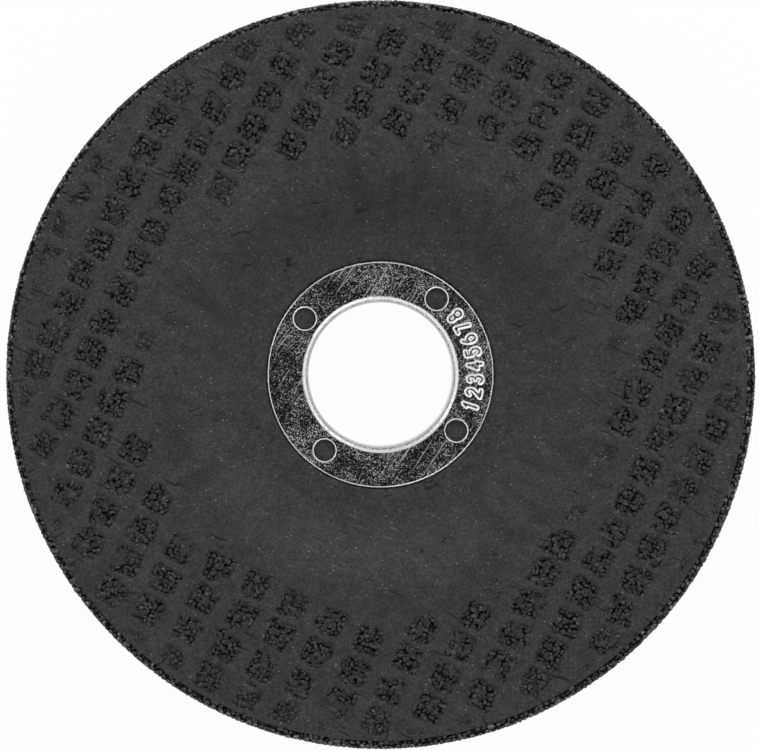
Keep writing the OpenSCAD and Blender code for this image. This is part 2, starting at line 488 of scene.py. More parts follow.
def marks_group():
    """Short marks strewn over the surface: specks, scratches, creases.

    The plane is turned by Angle and squeezed so that a mark of Length and Width becomes round. Each cell of a
    Voronoi pattern then holds one mark, of which Share are kept.
    """
    if "Short Marks" in bpy.data.node_groups:
        return bpy.data.node_groups["Short Marks"]
    group, given, result = new_group(
        "Short Marks",
        [
            ("Vector", "NodeSocketVector", None),
            ("Angle", "NodeSocketFloat", 0.0),
            ("Length", "NodeSocketFloat", 0.001),
            ("Width", "NodeSocketFloat", 0.001),
            ("Share", "NodeSocketFloat", 0.3),
            ("Wander", "NodeSocketFloat", 0.0),
            ("Offset", "NodeSocketFloat", 0.0),
        ],
        ["Mask"],
    )
    link = group.links.new
    bend = add_node(group, "ShaderNodeTexNoise", {"noise_dimensions": "2D"}, Scale=420.0, Detail=1.0)
    link(given.outputs["Vector"], bend.inputs["Vector"])
    centred = add_node(group, "ShaderNodeVectorMath", {"operation": "SUBTRACT"})
    link(bend.outputs["Color"], centred.inputs[0])
    centred.inputs[1].default_value = (0.5, 0.5, 0.5)
    swing = add_node(group, "ShaderNodeVectorMath", {"operation": "SCALE"})
    link(centred.outputs[0], swing.inputs[0])
    link(given.outputs["Wander"], swing.inputs["Scale"])
    moved = add_node(group, "ShaderNodeVectorMath", {"operation": "ADD"})
    link(given.outputs["Vector"], moved.inputs[0])
    link(swing.outputs[0], moved.inputs[1])
    turned = add_node(group, "ShaderNodeVectorRotate", {"rotation_type": "Z_AXIS"})
    link(moved.outputs[0], turned.inputs["Vector"])
    link(calculate(group, "MULTIPLY", given.outputs["Angle"], -1.0), turned.inputs["Angle"])
    size = add_node(group, "ShaderNodeCombineXYZ", Z=1.0)
    link(given.outputs["Length"], size.inputs["X"])
    link(given.outputs["Width"], size.inputs["Y"])
    squeezed = add_node(group, "ShaderNodeVectorMath", {"operation": "DIVIDE"})
    link(turned.outputs[0], squeezed.inputs[0])
    link(size.outputs[0], squeezed.inputs[1])
    strewn = add_node(group, "ShaderNodeVectorMath", {"operation": "ADD"})
    link(squeezed.outputs[0], strewn.inputs[0])
    link(given.outputs["Offset"], strewn.inputs[1])
    cells = add_node(group, "ShaderNodeTexVoronoi", {"voronoi_dimensions": "2D"}, Scale=0.5)
    link(strewn.outputs[0], cells.inputs["Vector"])
    chance = add_node(group, "ShaderNodeSeparateColor")
    link(cells.outputs["Color"], chance.inputs[0])
    kept = calculate(group, "LESS_THAN", chance.outputs[0], given.outputs["Share"])
    size_of = remap(group, chance.outputs[1], 0.0, 1.0, 0.14, 0.3)
    near = calculate(group, "DIVIDE", cells.outputs["Distance"], size_of)
    soft = remap(group, near, 0.45, 1.0, 1.0, 0.0, "SMOOTHSTEP")
    link(calculate(group, "MULTIPLY", soft, kept), result.inputs["Mask"])
    return group


def splits_group():
    """Short radial splits that run in from a round edge.

    The angle about Z, counted in parts of a turn and bent by noise, goes into a Voronoi pattern of one
    dimension. Each of its cells holds one split, of which Share are kept, each with its own length up to Reach.
    """
    if "Edge Splits" in bpy.data.node_groups:
        return bpy.data.node_groups["Edge Splits"]
    group, given, result = new_group(
        "Edge Splits",
        [
            ("Vector", "NodeSocketVector", None),
            ("Edge", "NodeSocketFloat", 0.05),
            ("Reach", "NodeSocketFloat", 0.002),
            ("Width", "NodeSocketFloat", 0.0001),
            ("Share", "NodeSocketFloat", 0.3),
        ],
        ["Mask"],
    )
    link = group.links.new
    parts = 48.0
    axes = add_node(group, "ShaderNodeSeparateXYZ")
    link(given.outputs["Vector"], axes.inputs[0])
    across = calculate(group, "MULTIPLY", axes.outputs["X"], axes.outputs["X"])
    along = calculate(group, "MULTIPLY", axes.outputs["Y"], axes.outputs["Y"])
    radius = calculate(group, "SQRT", calculate(group, "ADD", across, along))
    angle = calculate(group, "ARCTAN2", axes.outputs["Y"], axes.outputs["X"])
    bend = add_node(group, "ShaderNodeTexNoise", {"noise_dimensions": "2D"}, Scale=600.0, Detail=1.0)
    link(given.outputs["Vector"], bend.inputs["Vector"])
    swing = calculate(group, "MULTIPLY", calculate(group, "SUBTRACT", bend.outputs[0], 0.5), 0.02)
    counted = calculate(group, "MULTIPLY", calculate(group, "ADD", angle, swing), parts / TURN)
    cells = add_node(group, "ShaderNodeTexVoronoi", {"voronoi_dimensions": "1D"}, Scale=1.0)
    link(counted, cells.inputs["W"])
    chance = add_node(group, "ShaderNodeSeparateColor")
    link(cells.outputs["Color"], chance.inputs[0])
    kept = calculate(group, "LESS_THAN", chance.outputs[0], given.outputs["Share"])
    aside = calculate(group, "MULTIPLY", calculate(group, "MULTIPLY", cells.outputs["Distance"], radius), TURN / parts)
    inward = calculate(group, "SUBTRACT", given.outputs["Edge"], radius)
    left = calculate(group, "DIVIDE", inward, calculate(group, "MULTIPLY", given.outputs["Reach"], chance.outputs[1]))
    narrow = calculate(group, "MULTIPLY", given.outputs["Width"], remap(group, left, 0.3, 1.0, 1.0, 0.0))
    near = calculate(group, "DIVIDE", aside, calculate(group, "ADD", narrow, 0.000001))
    soft = remap(group, near, 0.6, 1.2, 1.0, 0.0, "SMOOTHSTEP")
    link(calculate(group, "MULTIPLY", soft, kept), result.inputs["Mask"])
    return group


def mottle_group():
    """Cloudy variation from 0 to 1: soft noise at Scale, with finer noise on top by Fine."""
    if "Mottle" in bpy.data.node_groups:
        return bpy.data.node_groups["Mottle"]
    group, given, result = new_group(
        "Mottle",
        [
            ("Vector", "NodeSocketVector", None),
            ("Scale", "NodeSocketFloat", 300.0),
            ("Fine", "NodeSocketFloat", 0.5),
            ("Low", "NodeSocketFloat", 0.3),
            ("High", "NodeSocketFloat", 0.7),
        ],
        ["Value"],
    )
    noise = add_node(group, "ShaderNodeTexNoise", Detail=5.0)
    group.links.new(given.outputs["Vector"], noise.inputs["Vector"])
    group.links.new(given.outputs["Scale"], noise.inputs["Scale"])
    group.links.new(given.outputs["Fine"], noise.inputs["Roughness"])
    spread = add_node(group, "ShaderNodeMapRange")
    group.links.new(noise.outputs[0], spread.inputs["Value"])
    group.links.new(given.outputs["Low"], spread.inputs["From Min"])
    group.links.new(given.outputs["High"], spread.inputs["From Max"])
    group.links.new(spread.outputs[0], result.inputs["Value"])
    return group


def facets_group():
    """Broken facets with painted shade in the cracks between them, for grains under a thin film.

    Noise pushes the place about by Warp, then Voronoi cells of size Cell give each facet a random value. The
    distance to a cell's border gives the cracks, whose width wanders with noise, and the dome of each facet.
    """
    if "Facets" in bpy.data.node_groups:
        return bpy.data.node_groups["Facets"]
    group, given, result = new_group(
        "Facets",
        [("Vector", "NodeSocketVector", None), ("Cell", "NodeSocketFloat", 0.001), ("Warp", "NodeSocketFloat", 0.0)],
        ["Facet", "Crevice Shade", "Dome"],
    )
    link = group.links.new
    bend = add_node(group, "ShaderNodeTexNoise", Scale=1100.0, Detail=2.0)
    link(given.outputs["Vector"], bend.inputs["Vector"])
    centred = add_node(group, "ShaderNodeVectorMath", {"operation": "SUBTRACT"})
    link(bend.outputs["Color"], centred.inputs[0])
    centred.inputs[1].default_value = (0.5, 0.5, 0.5)
    swing = add_node(group, "ShaderNodeVectorMath", {"operation": "SCALE"})
    link(centred.outputs[0], swing.inputs[0])
    link(given.outputs["Warp"], swing.inputs["Scale"])
    moved = add_node(group, "ShaderNodeVectorMath", {"operation": "ADD"})
    link(given.outputs["Vector"], moved.inputs[0])
    link(swing.outputs[0], moved.inputs[1])
    density = calculate(group, "DIVIDE", 1.0, given.outputs["Cell"])
    cells = add_node(group, "ShaderNodeTexVoronoi")
    border = add_node(group, "ShaderNodeTexVoronoi", {"feature": "DISTANCE_TO_EDGE"})
    for pattern in (cells, border):
        link(moved.outputs[0], pattern.inputs["Vector"])
        link(density, pattern.inputs["Scale"])
    chance = add_node(group, "ShaderNodeSeparateColor")
    link(cells.outputs["Color"], chance.inputs[0])
    link(chance.outputs[0], result.inputs["Facet"])
    width = add_node(group, "ShaderNodeTexNoise", Scale=950.0, Detail=2.0)
    link(given.outputs["Vector"], width.inputs["Vector"])
    reach = remap(group, width.outputs[0], 0.36, 0.64, 0.02, 0.26)
    across = calculate(group, "DIVIDE", border.outputs["Distance"], reach)
    link(remap(group, across, 0.45, 1.15, 1.0, 0.0, "SMOOTHSTEP"), result.inputs["Crevice Shade"])
    link(remap(group, border.outputs["Distance"], 0.0, 0.35, 0.0, 1.0, "SMOOTHSTEP"), result.inputs["Dome"])
    return group


def use_outputs(tree, group, vector, **values):
    """Places a shader group in a material, fed by the surface's coordinates. Returns all its outputs."""
    made = add_node(tree, "ShaderNodeGroup", {"node_tree": group}, **values)
    tree.links.new(vector, made.inputs["Vector"])
    return made.outputs


def mix_values(tree, factor, first, second):
    """A value between a number and a socket. Returns its output."""
    made = add_node(tree, "ShaderNodeMix", {"data_type": "FLOAT"})
    tree.links.new(factor, made.inputs[0])
    made.inputs[2].default_value = first
    tree.links.new(second, made.inputs[3])
    return made.outputs[0]


def scale_colour(tree, tint, factor):
    """A colour socket made lighter or darker by a value. Returns its output."""
    made = add_node(tree, "ShaderNodeVectorMath", {"operation": "SCALE"})
    tree.links.new(tint, made.inputs[0])
    tree.links.new(factor, made.inputs["Scale"])
    return made.outputs[0]


def use_group(tree, group, vector, **values):
    """Places a shader group in a material, fed by the surface's coordinates. Returns its output."""
    made = add_node(tree, "ShaderNodeGroup", {"node_tree": group}, **values)
    tree.links.new(vector, made.inputs["Vector"])
    return made.outputs[0]


def start_material(name):
    """A material with an empty Principled shader. Returns it, its tree, its shader and the object's coordinates."""
    material = bpy.data.materials.new(name)
    material.use_nodes = True
    tree = material.node_tree
    shader = tree.nodes["Principled BSDF"]
    place = tree.nodes.new("ShaderNodeTexCoord")
    return material, tree, shader, place.outputs["Object"]


def upward_part(tree):
    """How far the surface looks up or down: the Z part of its normal, without its sign. Returns its output."""
    parts = add_node(tree, "ShaderNodeSeparateXYZ")
    tree.links.new(tree.nodes["Texture Coordinate"].outputs["Normal"], parts.inputs[0])
    return calculate(tree, "ABSOLUTE", parts.outputs["Z"])


def add_bump(tree, shader, height, strength, distance):
    """Turns the surface's normal by a height."""
    bump = add_node(tree, "ShaderNodeBump", Strength=strength, Distance=distance)
    tree.links.new(height, bump.inputs["Height"])
    tree.links.new(bump.outputs["Normal"], shader.inputs["Normal"])


def film_finish(colours, sheet):
    """Resin film over the glass mesh: near black, cloudy, with creases along the threads and pale dust, and with
    painted shade in its creases, cracks, pleat valleys, between facets and in deep pits.
    """
    material, tree, shader, place = start_material("facing_film")
    clouds = use_group(tree, mottle_group(), place, Scale=90.0, Fine=0.6, Low=0.35, High=0.65)
    patches = use_group(tree, mottle_group(), place, Scale=520.0, Fine=0.5, Low=0.35, High=0.65)
    flecks = use_group(tree, mottle_group(), place, Scale=2600.0, Fine=0.72, Low=0.36, High=0.64)
    creases = use_group(
        tree, marks_group(), place, Angle=sheet.angle_a + 0.06, Length=4.8 * MM, Width=0.42 * MM,
        Share=0.14, Wander=0.0010, Offset=3.0,
    )
    cracks = use_group(
        tree, marks_group(), place, Angle=sheet.angle_a + 0.70, Length=3.2 * MM, Width=0.45 * MM,
        Share=0.05, Wander=0.0026, Offset=9.0,
    )
    specks = use_group(
        tree, marks_group(), place, Length=0.30 * MM, Width=0.16 * MM, Share=0.035, Wander=0.0012, Offset=5.0
    )
    streaks = use_group(
        tree, marks_group(), place, Angle=sheet.angle_a, Length=2.4 * MM, Width=0.45 * MM,
        Share=0.07, Wander=0.001, Offset=17.0,
    )
    pinholes = use_group(
        tree, marks_group(), place, Length=0.7 * MM, Width=0.6 * MM, Share=0.012, Wander=0.0006, Offset=27.0
    )
    splits = use_group(tree, splits_group(), place, Edge=sheet.radius, Reach=3.2 * MM, Width=0.19 * MM, Share=0.38)
    pit = add_node(tree, "ShaderNodeAttribute", {"attribute_name": "pit"}).outputs["Fac"]
    base = blend_colour(tree, clouds, colours.film, colours.film_warm)
    facet, crevice_shade, dome = use_outputs(tree, facets_group(), place, Cell=0.95 * MM, Warp=0.0007)
    open_here = remap(tree, pit, 0.08, 0.4)
    fine = remap(tree, flecks, 0.0, 1.0, 0.46, 1.54)
    flecked = calculate(tree, "MULTIPLY", fine, remap(tree, patches, 0.0, 1.0, 0.86, 1.14))
    pleat = add_node(tree, "ShaderNodeAttribute", {"attribute_name": "pleat"}).outputs["Fac"]
    # Painted shade: the film is darker in the valleys of the pleats, down to 0.78 of its colour.
    flecked = calculate(tree, "MULTIPLY", flecked, remap(tree, pleat, -0.9, 0.0, 0.78, 1.0))
    # Partly painted shading: each facet in an open window gets a random brightness, partly the film's own tone and
    # partly as if the facet were turned to or from the light.
    faceted = remap(tree, facet, 0.0, 1.0, 0.62, 1.3)
    lit = calculate(tree, "MULTIPLY", flecked, mix_values(tree, open_here, 1.0, faceted))
    tinted = scale_colour(tree, base, lit)
    # Painted shade: the cracks between facets in open windows and the bottom of the deepest pits take the crevice shade
    # colour.
    gaps = calculate(tree, "MULTIPLY", crevice_shade, open_here)
    deep = calculate(tree, "MAXIMUM", gaps, remap(tree, pit, 0.75, 0.95))
    shaded = blend_colour(tree, deep, tinted, colours.crevice_shade)
    threaded = add_node(tree, "ShaderNodeAttribute", {"attribute_name": "threaded"}).outputs["Fac"]
    creases = calculate(tree, "MULTIPLY", creases, threaded)
    lines = calculate(tree, "MAXIMUM", calculate(tree, "MAXIMUM", creases, cracks), pinholes)
    lines = calculate(tree, "MAXIMUM", lines, splits)
    # Painted shade: the creases, cracks, pinholes and edge splits are painted in the crease shade colour.
    marked = blend_colour(tree, calculate(tree, "MULTIPLY", lines, 0.75), shaded, colours.crease_shade)
    pale = calculate(tree, "MULTIPLY", calculate(tree, "MULTIPLY", streaks, flecks), 0.22)
    dusted = blend_colour(tree, calculate(tree, "MAXIMUM", specks, pale), marked, colours.dust)
    tree.links.new(dusted, shader.inputs["Base Color"])
    tree.links.new(remap(tree, flecks, 0.0, 1.0, 0.62, 0.82), shader.inputs["Roughness"])
    shader.inputs["Specular IOR Level"].default_value = 0.3
    height = calculate(tree, "SUBTRACT", flecks, calculate(tree, "MULTIPLY", lines, 3.0))
    relief = calculate(tree, "MULTIPLY", calculate(tree, "MULTIPLY", dome, open_here), 7.0)
    add_bump(tree, shader, calculate(tree, "ADD", height, relief), 0.6, 0.04 * MM)
    return material


def resin_finish(colours):
    """Black resin between the grains, rough, with the painted crevice shade on the front between the window grains."""
    material, tree, shader, place = start_material("bonded_resin")
    grains = add_node(tree, "ShaderNodeTexVoronoi", {"feature": "F1"}, Scale=1500.0)
    tree.links.new(place, grains.inputs["Vector"])
    clouds = use_group(tree, mottle_group(), place, Scale=700.0, Fine=0.6, Low=0.3, High=0.7)
    shown = add_node(tree, "ShaderNodeAttribute", {"attribute_name": "bare"}).outputs["Fac"]
    top = remap(tree, grains.outputs["Distance"], 0.15, 0.55, 1.0, 0.0)
    mask = calculate(tree, "MULTIPLY", calculate(tree, "MULTIPLY", top, shown), clouds)
    # Painted shade: on the front, where the wheel shows between the window grains, it takes the crevice shade colour
    # instead of the resin's.
    under = blend_colour(tree, shown, colours.crevice_shade, colours.resin)
    tree.links.new(blend_colour(tree, mask, under, colours.grain), shader.inputs["Base Color"])
    shader.inputs["Roughness"].default_value = 0.7
    shader.inputs["Specular IOR Level"].default_value = 0.08
    add_bump(tree, shader, top, 0.9, 0.25 * MM)
    return material


def grain_finish(name, tint, crack_shade, colours):
    """Abrasive grain in a dark coat: grey faces, each grain a little different, a few of them pale or brown, with
    painted shade on faces that look sideways and in the cracks between facets.
    """
    material, tree, shader, place = start_material(name)
    tone = add_node(tree, "ShaderNodeAttribute", {"attribute_name": "tone"}).outputs["Fac"]
    clouds = use_group(tree, mottle_group(), place, Scale=2600.0, Fine=0.6, Low=0.3, High=0.7)
    facet, crevice_shade, dome = use_outputs(tree, facets_group(), place, Cell=0.62 * MM, Warp=0.0006)
    dark = tuple(0.62 * c for c in tint)
    coated = blend_colour(tree, remap(tree, tone, 0.0, 0.8), dark, tint)
    pale = calculate(tree, "GREATER_THAN", tone, 0.985)
    broken = blend_colour(tree, pale, coated, colours.grain_pale)
    brown = calculate(tree, "GREATER_THAN", tone, 0.75 * BROWN_TONE)
    marked = blend_colour(tree, brown, broken, colours.grain_red)
    # Partly painted shading: each facet gets a random brightness, partly the grain's own tone and partly as if the
    # facet were turned to or from the light.
    lit = calculate(tree, "MULTIPLY", remap(tree, clouds, 0.0, 1.0, 0.7, 1.3), remap(tree, facet, 0.0, 1.0, 0.6, 1.35))
    # Painted shade: faces that look sideways are painted darker, down to a fifth of their colour.
    lit = calculate(tree, "MULTIPLY", lit, remap(tree, upward_part(tree), 0.1, 0.7, 0.2, 1.0))
    # Painted shade in the cracks between facets.
    cracked = blend_colour(tree, calculate(tree, "MULTIPLY", crevice_shade, 0.8), scale_colour(tree, marked, lit), crack_shade)
    tree.links.new(cracked, shader.inputs["Base Color"])
    tree.links.new(remap(tree, clouds, 0.0, 1.0, 0.42, 0.68), shader.inputs["Roughness"])
    shader.inputs["Specular IOR Level"].default_value = 0.3
    add_bump(tree, shader, calculate(tree, "ADD", clouds, calculate(tree, "MULTIPLY", dome, 3.0)), 0.6, 0.06 * MM)
    return material


def steel_finish(colours):
    """Rolled steel with long scratches one way, shorter ones across, dark stains and a stippled skin, with a painted
    highlight on its bends and edges and painted shade on its steep walls.
    """
    material, tree, shader, place = start_material("pressed_steel")
    stains = use_group(tree, mottle_group(), place, Scale=240.0, Fine=0.65, Low=0.38, High=0.62)
    brushed = add_node(tree, "ShaderNodeVectorRotate", {"rotation_type": "Z_AXIS"}, Angle=math.radians(-57))
    tree.links.new(place, brushed.inputs["Vector"])
    drawn_out = add_node(tree, "ShaderNodeVectorMath", {"operation": "MULTIPLY"})
    tree.links.new(brushed.outputs[0], drawn_out.inputs[0])
    drawn_out.inputs[1].default_value = (0.22, 1, 1)
    grained = use_group(tree, mottle_group(), drawn_out.outputs[0], Scale=5200.0, Fine=0.66, Low=0.5, High=0.60)
    dotted = use_group(tree, mottle_group(), place, Scale=4600.0, Fine=0.68, Low=0.53, High=0.59)
    stipple = calculate(tree, "MAXIMUM", calculate(tree, "MULTIPLY", grained, 0.35), dotted)
    stipple = calculate(tree, "MULTIPLY", stipple, remap(tree, stains, 0.0, 1.0, 0.5, 1.2))
    long_way = use_group(
        tree, marks_group(), place, Angle=math.radians(57), Length=9 * MM, Width=0.16 * MM,
        Share=0.26, Wander=0.0001, Offset=1.0,
    )
    other_way = use_group(
        tree, marks_group(), place, Angle=math.radians(51), Length=7 * MM, Width=0.14 * MM,
        Share=0.16, Wander=0.0001, Offset=7.0,
    )
    across = use_group(
        tree, marks_group(), place, Angle=math.radians(-12), Length=2.5 * MM, Width=0.09 * MM,
        Share=0.10, Wander=0.0006, Offset=13.0,
    )
    nicks = use_group(
        tree, marks_group(), place, Length=0.26 * MM, Width=0.20 * MM, Share=0.10, Wander=0.0006, Offset=21.0
    )
    where = use_group(tree, mottle_group(), place, Scale=110.0, Fine=0.5, Low=0.36, High=0.6)
    lines = calculate(tree, "MAXIMUM", calculate(tree, "MAXIMUM", long_way, other_way), across)
    broken = calculate(tree, "MULTIPLY", remap(tree, where, 0.0, 1.0, 0.5, 1.0), remap(tree, stipple, 0.0, 0.6, 0.6, 1.0))
    lines = calculate(tree, "MULTIPLY", lines, broken)
    worn = calculate(tree, "MAXIMUM", lines, calculate(tree, "MULTIPLY", nicks, 0.9))
    base = blend_colour(tree, stains, colours.stain_and_shade_steel, colours.steel)
    base = scale_colour(tree, base, remap(tree, stipple, 0.0, 0.8, 0.68, 1.38))
    upward = upward_part(tree)
    # Painted light: faces a little off level, at bends, rounded edges and hole lips, are painted bright as a highlight,
    # and steep walls are painted dull as shade.
    steep = remap(tree, upward, 0.69, 0.60, 0.0, 0.9, "SMOOTHSTEP")
    turned = blend_colour(tree, steep, colours.scratch_and_highlight_steel, colours.stain_and_shade_steel)
    skin = blend_colour(tree, remap(tree, upward, 0.97, 0.93), base, turned)
    tree.links.new(blend_colour(tree, worn, skin, colours.scratch_and_highlight_steel), shader.inputs["Base Color"])
    shader.inputs["Metallic"].default_value = 1.0
    dull = calculate(tree, "ADD", calculate(tree, "MULTIPLY", stipple, 0.66), calculate(tree, "MULTIPLY", worn, 0.8))
    tree.links.new(calculate(tree, "ADD", dull, 0.095, clamp=True), shader.inputs["Roughness"])
    add_bump(tree, shader, calculate(tree, "ADD", stipple, worn), 0.35, 0.012 * MM)
    return material


def lit_for_camera(tree, shader, level):
    """Mixes a shader with an even white that only the camera, mirrors and glass see. Returns the mix."""
    path = tree.nodes.new("ShaderNodeLightPath")
    seen = calculate(tree, "MAXIMUM", path.outputs["Is Camera Ray"], path.outputs["Is Glossy Ray"])
    seen = calculate(tree, "MAXIMUM", seen, path.outputs["Is Transmission Ray"])
    white = add_node(tree, "ShaderNodeEmission", Strength=1.0)
    mix = tree.nodes.new("ShaderNodeMixShader")
    tree.links.new(calculate(tree, "MULTIPLY", seen, level), mix.inputs[0])
    tree.links.new(shader.outputs[0], mix.inputs[1])
    tree.links.new(white.outputs[0], mix.inputs[2])
    return mix


def wheel_profile(wheel, sheet):
    """Closed half section of the wheel as points of radius and height, clockwise from the bore's top.

    Under the sheet it follows the recessed face, then come the band, the side, and the back, which is the
    recessed face lowered by the wheel's thickness.
    """
    hub_z = wheel.rim_z - wheel.recess
    core = wheel.radius - 0.42 * MM
    under = sheet.depth + 0.22 * MM
    front_r = np.concatenate([np.linspace(17.7 * MM, 33.6 * MM, 14), np.linspace(36 * MM, core - 0.3 * MM, 9)])
    front = np.stack([front_r, face_height(front_r, wheel) - under], -1)
    low = wheel.rim_z - hub_z
    side = polyline(
        [(core - 0.25 * MM, wheel.rim_z - under), (core, wheel.rim_z - under - 0.25 * MM), (core, low + 0.3 * MM)],
        0.45 * MM,
    )
    corner = np.array([[core - 0.2 * MM, low + 0.12 * MM]])
    back_r = np.concatenate([np.arange(core - 0.5 * MM, 20.5 * MM, -0.7 * MM), [19 * MM, 16 * MM, 13.5 * MM]])
    back = np.stack([back_r, face_height(back_r, wheel) - hub_z], -1)
    bore = polyline([(wheel.bore, 0.0), (wheel.bore, hub_z - 1.3 * MM), (12.1 * MM, hub_z - 0.85 * MM)], 1.2 * MM)
    seat = np.array([[17.5 * MM, hub_z - 0.85 * MM]])
    return np.concatenate([front, side, corner, back, bore, seat])


def make_wheel(wheel, sheet):
    """The moulded wheel as one closed surface: its half section turned about the axis and roughened by noise
    along the normal, flat where the hub's back lies on a table.
    """
    columns = 840
    profile = wheel_profile(wheel, sheet)
    section = np.concatenate([profile[-1:], profile, profile[:1]])
    normals = profile_normals(section)[1:-1]
    points = revolve(profile, columns)
    outward = revolve(normals, columns)
    rough = np.where(profile[:, 0] > wheel.radius - 1.2 * MM, 0.10, 0.07) * MM
    rough = np.where(profile[:, 1] < 0.05 * MM, 0.015 * MM, rough)
    noise = layered_noise(points.reshape(-1, 3), 1.1 * MM, SEED + 20).reshape(len(profile), columns)
    points = points + outward * (noise * rough[:, None])[..., None]
    points = points.reshape(-1, 3)
    keep_inside(points, wheel)
    piece = put_mesh("abrasive_wheel", points, grid_quads(len(profile), columns, wrap_rows=True)[:, ::-1], [])
    front = np.arange(len(profile)) < 23
    put_attribute(piece, "bare", np.repeat(np.where(front, 0.0, 1.0), columns))
    return piece


def spaced_ring(radius, spacing, random):
    """Angles about a circle, on average spacing apart, and half the distance between each one's neighbours."""
    places = max(3, round(TURN * radius / spacing))
    gaps = random.uniform(0.45, 1.55, places)
    ends = np.cumsum(gaps) / gaps.sum()
    room = gaps / gaps.sum() * TURN * radius
    return (ends - 0.5 * gaps / gaps.sum()) * TURN, 0.5 * room


def wear_side(piece, wheel, random):
    """Rubs the grains of the side nearly flat: what stands past the worn side is drawn back to 0.3 of its
    height, except on one grain in twenty.
    """
    points = np.zeros(3 * len(piece.data.vertices), dtype=np.float32)
    piece.data.vertices.foreach_get("co", points)
    points = points.reshape(-1, 3)
    radius = np.linalg.norm(points[:, :2], axis=1)
    side = wheel.radius - 0.12 * MM
    worn = np.repeat(random.uniform(0, 1, len(points) // 12) > 0.05, 12) & (radius > side)
    points[worn, :2] *= ((side + 0.3 * (radius - side)) / radius)[worn, None]
    piece.data.vertices.foreach_set("co", points.ravel())
    piece.data.update()


def make_rim_grains(wheel):
    """Coarse grains all over the wheel's side and the bare band: rows of jittered places on the circle."""
    random = np.random.default_rng(SEED + 1)
    low = wheel.recess
    rows = []
    top = wheel.rim_z - 0.36 * MM
    rows += [(0.64 * MM, top - 0.26 * MM, 0.9), (0.0, top - 0.04 * MM, 0.75)]
    rows += [(0.0, height, 0.0) for height in np.arange(low + 0.42 * MM, top - 0.5 * MM, wheel.rim_gap * 0.8)]
    places, normals, radii = [], [], []
    for inward, height, tilt in rows:
        angle, room = spaced_ring(wheel.radius, wheel.rim_gap, random)
        size = np.clip(room * random.uniform(0.95, 1.3, len(angle)), 0.8 * wheel.grain_min, 1.12 * wheel.grain_max)
        sunk = 0.09 * MM * random.uniform(0, 1, len(angle)) ** 1.6
        out = wheel.radius + 0.03 * MM - inward - size * (0.60 + 0.2 * math.sin(tilt)) - sunk
        level = height + random.uniform(-0.16, 0.14, len(angle)) * MM
        level = np.clip(level, low + size * 0.8, wheel.rim_z - size * 0.85)
        places.append(np.stack([out * np.cos(angle), out * np.sin(angle), level], -1))
        across, up = math.cos(tilt), math.sin(tilt)
        normals.append(np.stack([across * np.cos(angle), across * np.sin(angle), np.full(len(angle), up)], -1))
        radii.append(size)
    places = np.concatenate(places)
    piece = scatter_grains("rim_grains", places, np.concatenate(normals), np.concatenate(radii), 0.72, wheel, random)
    wear_side(piece, wheel, random)
    tones = np.zeros(12 * len(places))
    piece.data.attributes["tone"].data.foreach_get("value", tones)
    brown = np.linalg.norm(places - [56.4 * MM, 1.9 * MM, top], axis=1).argmin()
    tones[12 * brown:12 * brown + 12] = BROWN_TONE
    piece.data.attributes["tone"].data.foreach_set("value", tones)
    return piece


def make_window_grains(wheel, sheet):
    """Grains that lie bare in the windows: a jittered grid in each window, kept where the sheet is drawn down."""
    random = np.random.default_rng(SEED + 2)
    reach = math.ceil(sheet.open_to / min(sheet.pitch_a, sheet.pitch_b)) + 1
    whole = np.arange(-reach, reach + 1)
    cells = np.stack(np.meshgrid(whole, whole, indexing="ij"), -1).reshape(-1, 2)
    strength = window_strength(cells, sheet)
    cells = cells[strength > 0.06]
    half = 0.5 * max(sheet.window_w, sheet.window_l) + 0.5 * MM
    line = np.arange(-half, half, wheel.grain_gap)
    grid = np.stack(np.meshgrid(line, line, indexing="ij"), -1).reshape(-1, 2)
    local = grid[None] + random.uniform(-0.36, 0.36, (len(cells), len(grid), 2)) * wheel.grain_gap
    plane = (cell_centres(cells, sheet)[:, None] + local @ thread_axes(sheet)).reshape(-1, 2)
    size = random.uniform(1.1 * wheel.grain_min, wheel.grain_max, len(plane))
    drop = random.uniform(0.0, 0.22, len(plane)) * MM
    cell, edge = window_edge(plane, sheet)
    kept = (edge < 0.12 * MM) & (window_strength(cell, sheet) > 0.06)
    kept &= np.linalg.norm(plane, axis=-1) < sheet.radius - 0.9 * MM
    plane, size, drop = plane[kept], size[kept], drop[kept]
    flatten = 0.48
    height = face_height(np.linalg.norm(plane, axis=-1), wheel) - 0.02 * MM - drop - size * flatten
    places = np.column_stack([plane, height])
    normals = np.tile([0.0, 0.0, 1.0], (len(plane), 1))
    return scatter_grains("window_grains", places, normals, size, flatten, wheel, random)


def make_back_grains(wheel):
    """Single proud grains on the back, pressed nearly flush: rings of jittered places on the lowered face."""
    random = np.random.default_rng(SEED + 4)
    hub_z = wheel.rim_z - wheel.recess
    places, normals, radii = [], [], []
    for radius in np.arange(23 * MM, wheel.radius - 0.7 * MM, wheel.back_gap):
        angle, _ = spaced_ring(radius, wheel.back_gap, random)
        out = radius + random.uniform(-0.5, 0.5, len(angle)) * wheel.back_gap
        out = np.minimum(out, wheel.radius - 0.7 * MM)
        size = random.uniform(wheel.grain_min, wheel.grain_max, len(angle))
        slope = (face_height(out + 0.1 * MM, wheel) - face_height(out - 0.1 * MM, wheel)) / (0.2 * MM)
        level = face_height(out, wheel) - hub_z + size * 0.6
        places.append(np.stack([out * np.cos(angle), out * np.sin(angle), level], -1))
        across = slope / np.hypot(1, slope)
        down = -1 / np.hypot(1, slope)
        normals.append(np.stack([across * np.cos(angle), across * np.sin(angle), down], -1))
        radii.append(size)
    return scatter_grains(
        "back_grains", np.concatenate(places), np.concatenate(normals), np.concatenate(radii), 0.75, wheel, random
    )


